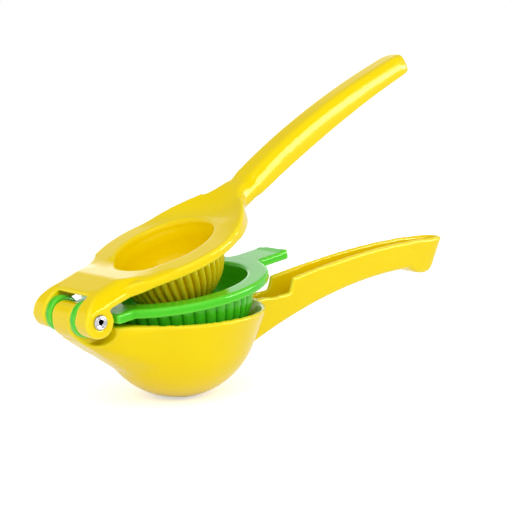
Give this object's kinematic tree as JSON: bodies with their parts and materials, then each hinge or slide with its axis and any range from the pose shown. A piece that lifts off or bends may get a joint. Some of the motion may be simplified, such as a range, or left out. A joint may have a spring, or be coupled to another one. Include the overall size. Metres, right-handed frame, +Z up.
{
  "type": "hinged citrus squeezer",
  "caption": "Hinged hand squeezer with a ribbed press and nested strainer cups that turn on one riveted pin, with long channel handles.",
  "frame": {"origin": "centre of the flat land under the lower bowl, on the surface it rests on", "axes": "+X from the hinge to the handle tips, +Y along the hinge pin, +Z up out of the bowls"},
  "size_m": [0.2168, 0.0792, 0.1399],
  "materials": {
    "yellow_enamel": "gloss",
    "green_enamel": "gloss",
    "bright_steel": "polished"
  },
  "bodies": {
    "lower": {"lower_cup": "yellow_enamel"},
    "middle": {"middle_cup": "green_enamel"},
    "press": {"upper_press": "yellow_enamel", "hinge_rivet": "bright_steel"}
  },
  "joints": [
    {"name": "middle_hinge", "type": "hinge", "parent": "lower", "child": "middle", "pos_m": [-0.0512, 0, 0.04113], "axis": [0, -1, 0], "range_deg": [-8.1, 52]},
    {"name": "press_hinge", "type": "hinge", "parent": "middle", "child": "press", "pos_m": [-0.0512, 0, 0.04113], "axis": [0, -1, 0], "range_deg": [-13.3, 97]}
  ]
}
